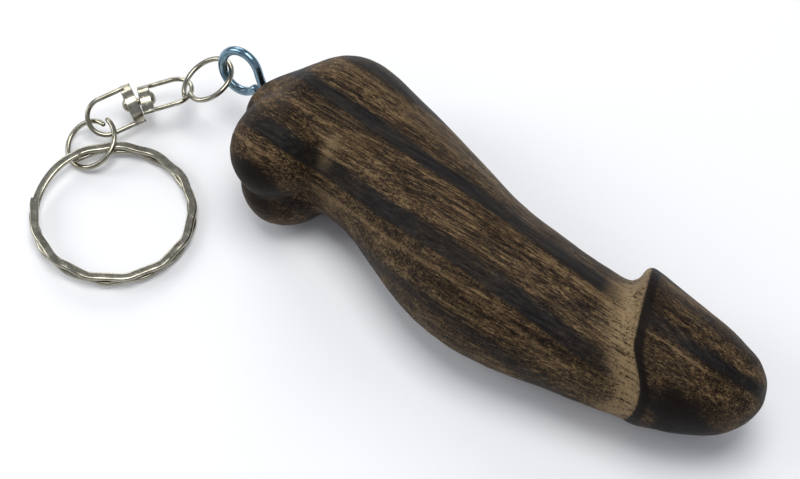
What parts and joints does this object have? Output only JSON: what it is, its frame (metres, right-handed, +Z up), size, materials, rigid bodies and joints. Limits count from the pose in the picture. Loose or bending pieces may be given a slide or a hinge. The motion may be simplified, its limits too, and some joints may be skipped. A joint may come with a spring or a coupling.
{
  "type": "keychain",
  "caption": "Souvenir keychain: a carved wooden phallic charm on a screw eye, with jump rings, a turning swivel and a patterned split ring.",
  "frame": {"origin": "on the charm's flat rest patch, under the middle of its shaft", "axes": "+X along the wood's grain from the screw eye to the tip; +Y towards the back of the charm's bend; +Z up from the surface it lies on"},
  "size_m": [0.1393, 0.0632, 0.0266],
  "materials": {
    "stained_wood": "sanded, streaked with dark stain, light wax",
    "zinc_wire": "bright bluish zinc plate",
    "nickel_wire": "polished nickel plate, lightly worn"
  },
  "bodies": {
    "charm": {"carved_body": "stained_wood", "screw_eye": "zinc_wire"},
    "large_ring": {"large_jump_ring": "nickel_wire"},
    "rear_half": {"swivel_rear_loop": "nickel_wire", "swivel_rivet": "nickel_wire"},
    "front_half": {"swivel_front_loop": "nickel_wire"},
    "small_ring": {"small_jump_ring": "nickel_wire"},
    "key_ring": {"split_ring": "nickel_wire"}
  },
  "joints": [
    {"name": "large_ring_swing", "type": "hinge", "parent": "charm", "child": "large_ring", "pos_m": [-0.06631, 0.01025, 0.01131], "axis": [0.4939, -0.269, -0.8269], "range_deg": [-20, 60]},
    {"name": "rear_loop_swing", "type": "hinge", "parent": "large_ring", "child": "rear_half", "pos_m": [-0.07073, 0.00333, 0.008], "axis": [0.7023, -0.6923, 0.1661], "range_deg": [-60, 15]},
    {"name": "swivel_turn", "type": "hinge", "parent": "rear_half", "child": "front_half", "pos_m": [-0.0782, -0.0014, 0.0052], "axis": [-0.5611, -0.8216, -0.1002], "continuous": true},
    {"name": "small_ring_swing", "type": "hinge", "parent": "front_half", "child": "small_ring", "pos_m": [-0.08331, -0.01027, 0.00384], "axis": [0.7738, -0.3559, -0.5239], "range_deg": [-10, 60]},
    {"name": "split_ring_swing", "type": "hinge", "parent": "small_ring", "child": "key_ring", "pos_m": [-0.0799, -0.014, 0.0021], "axis": [-0.8145, 0.5802, 0], "range_deg": [0, 60]}
  ]
}
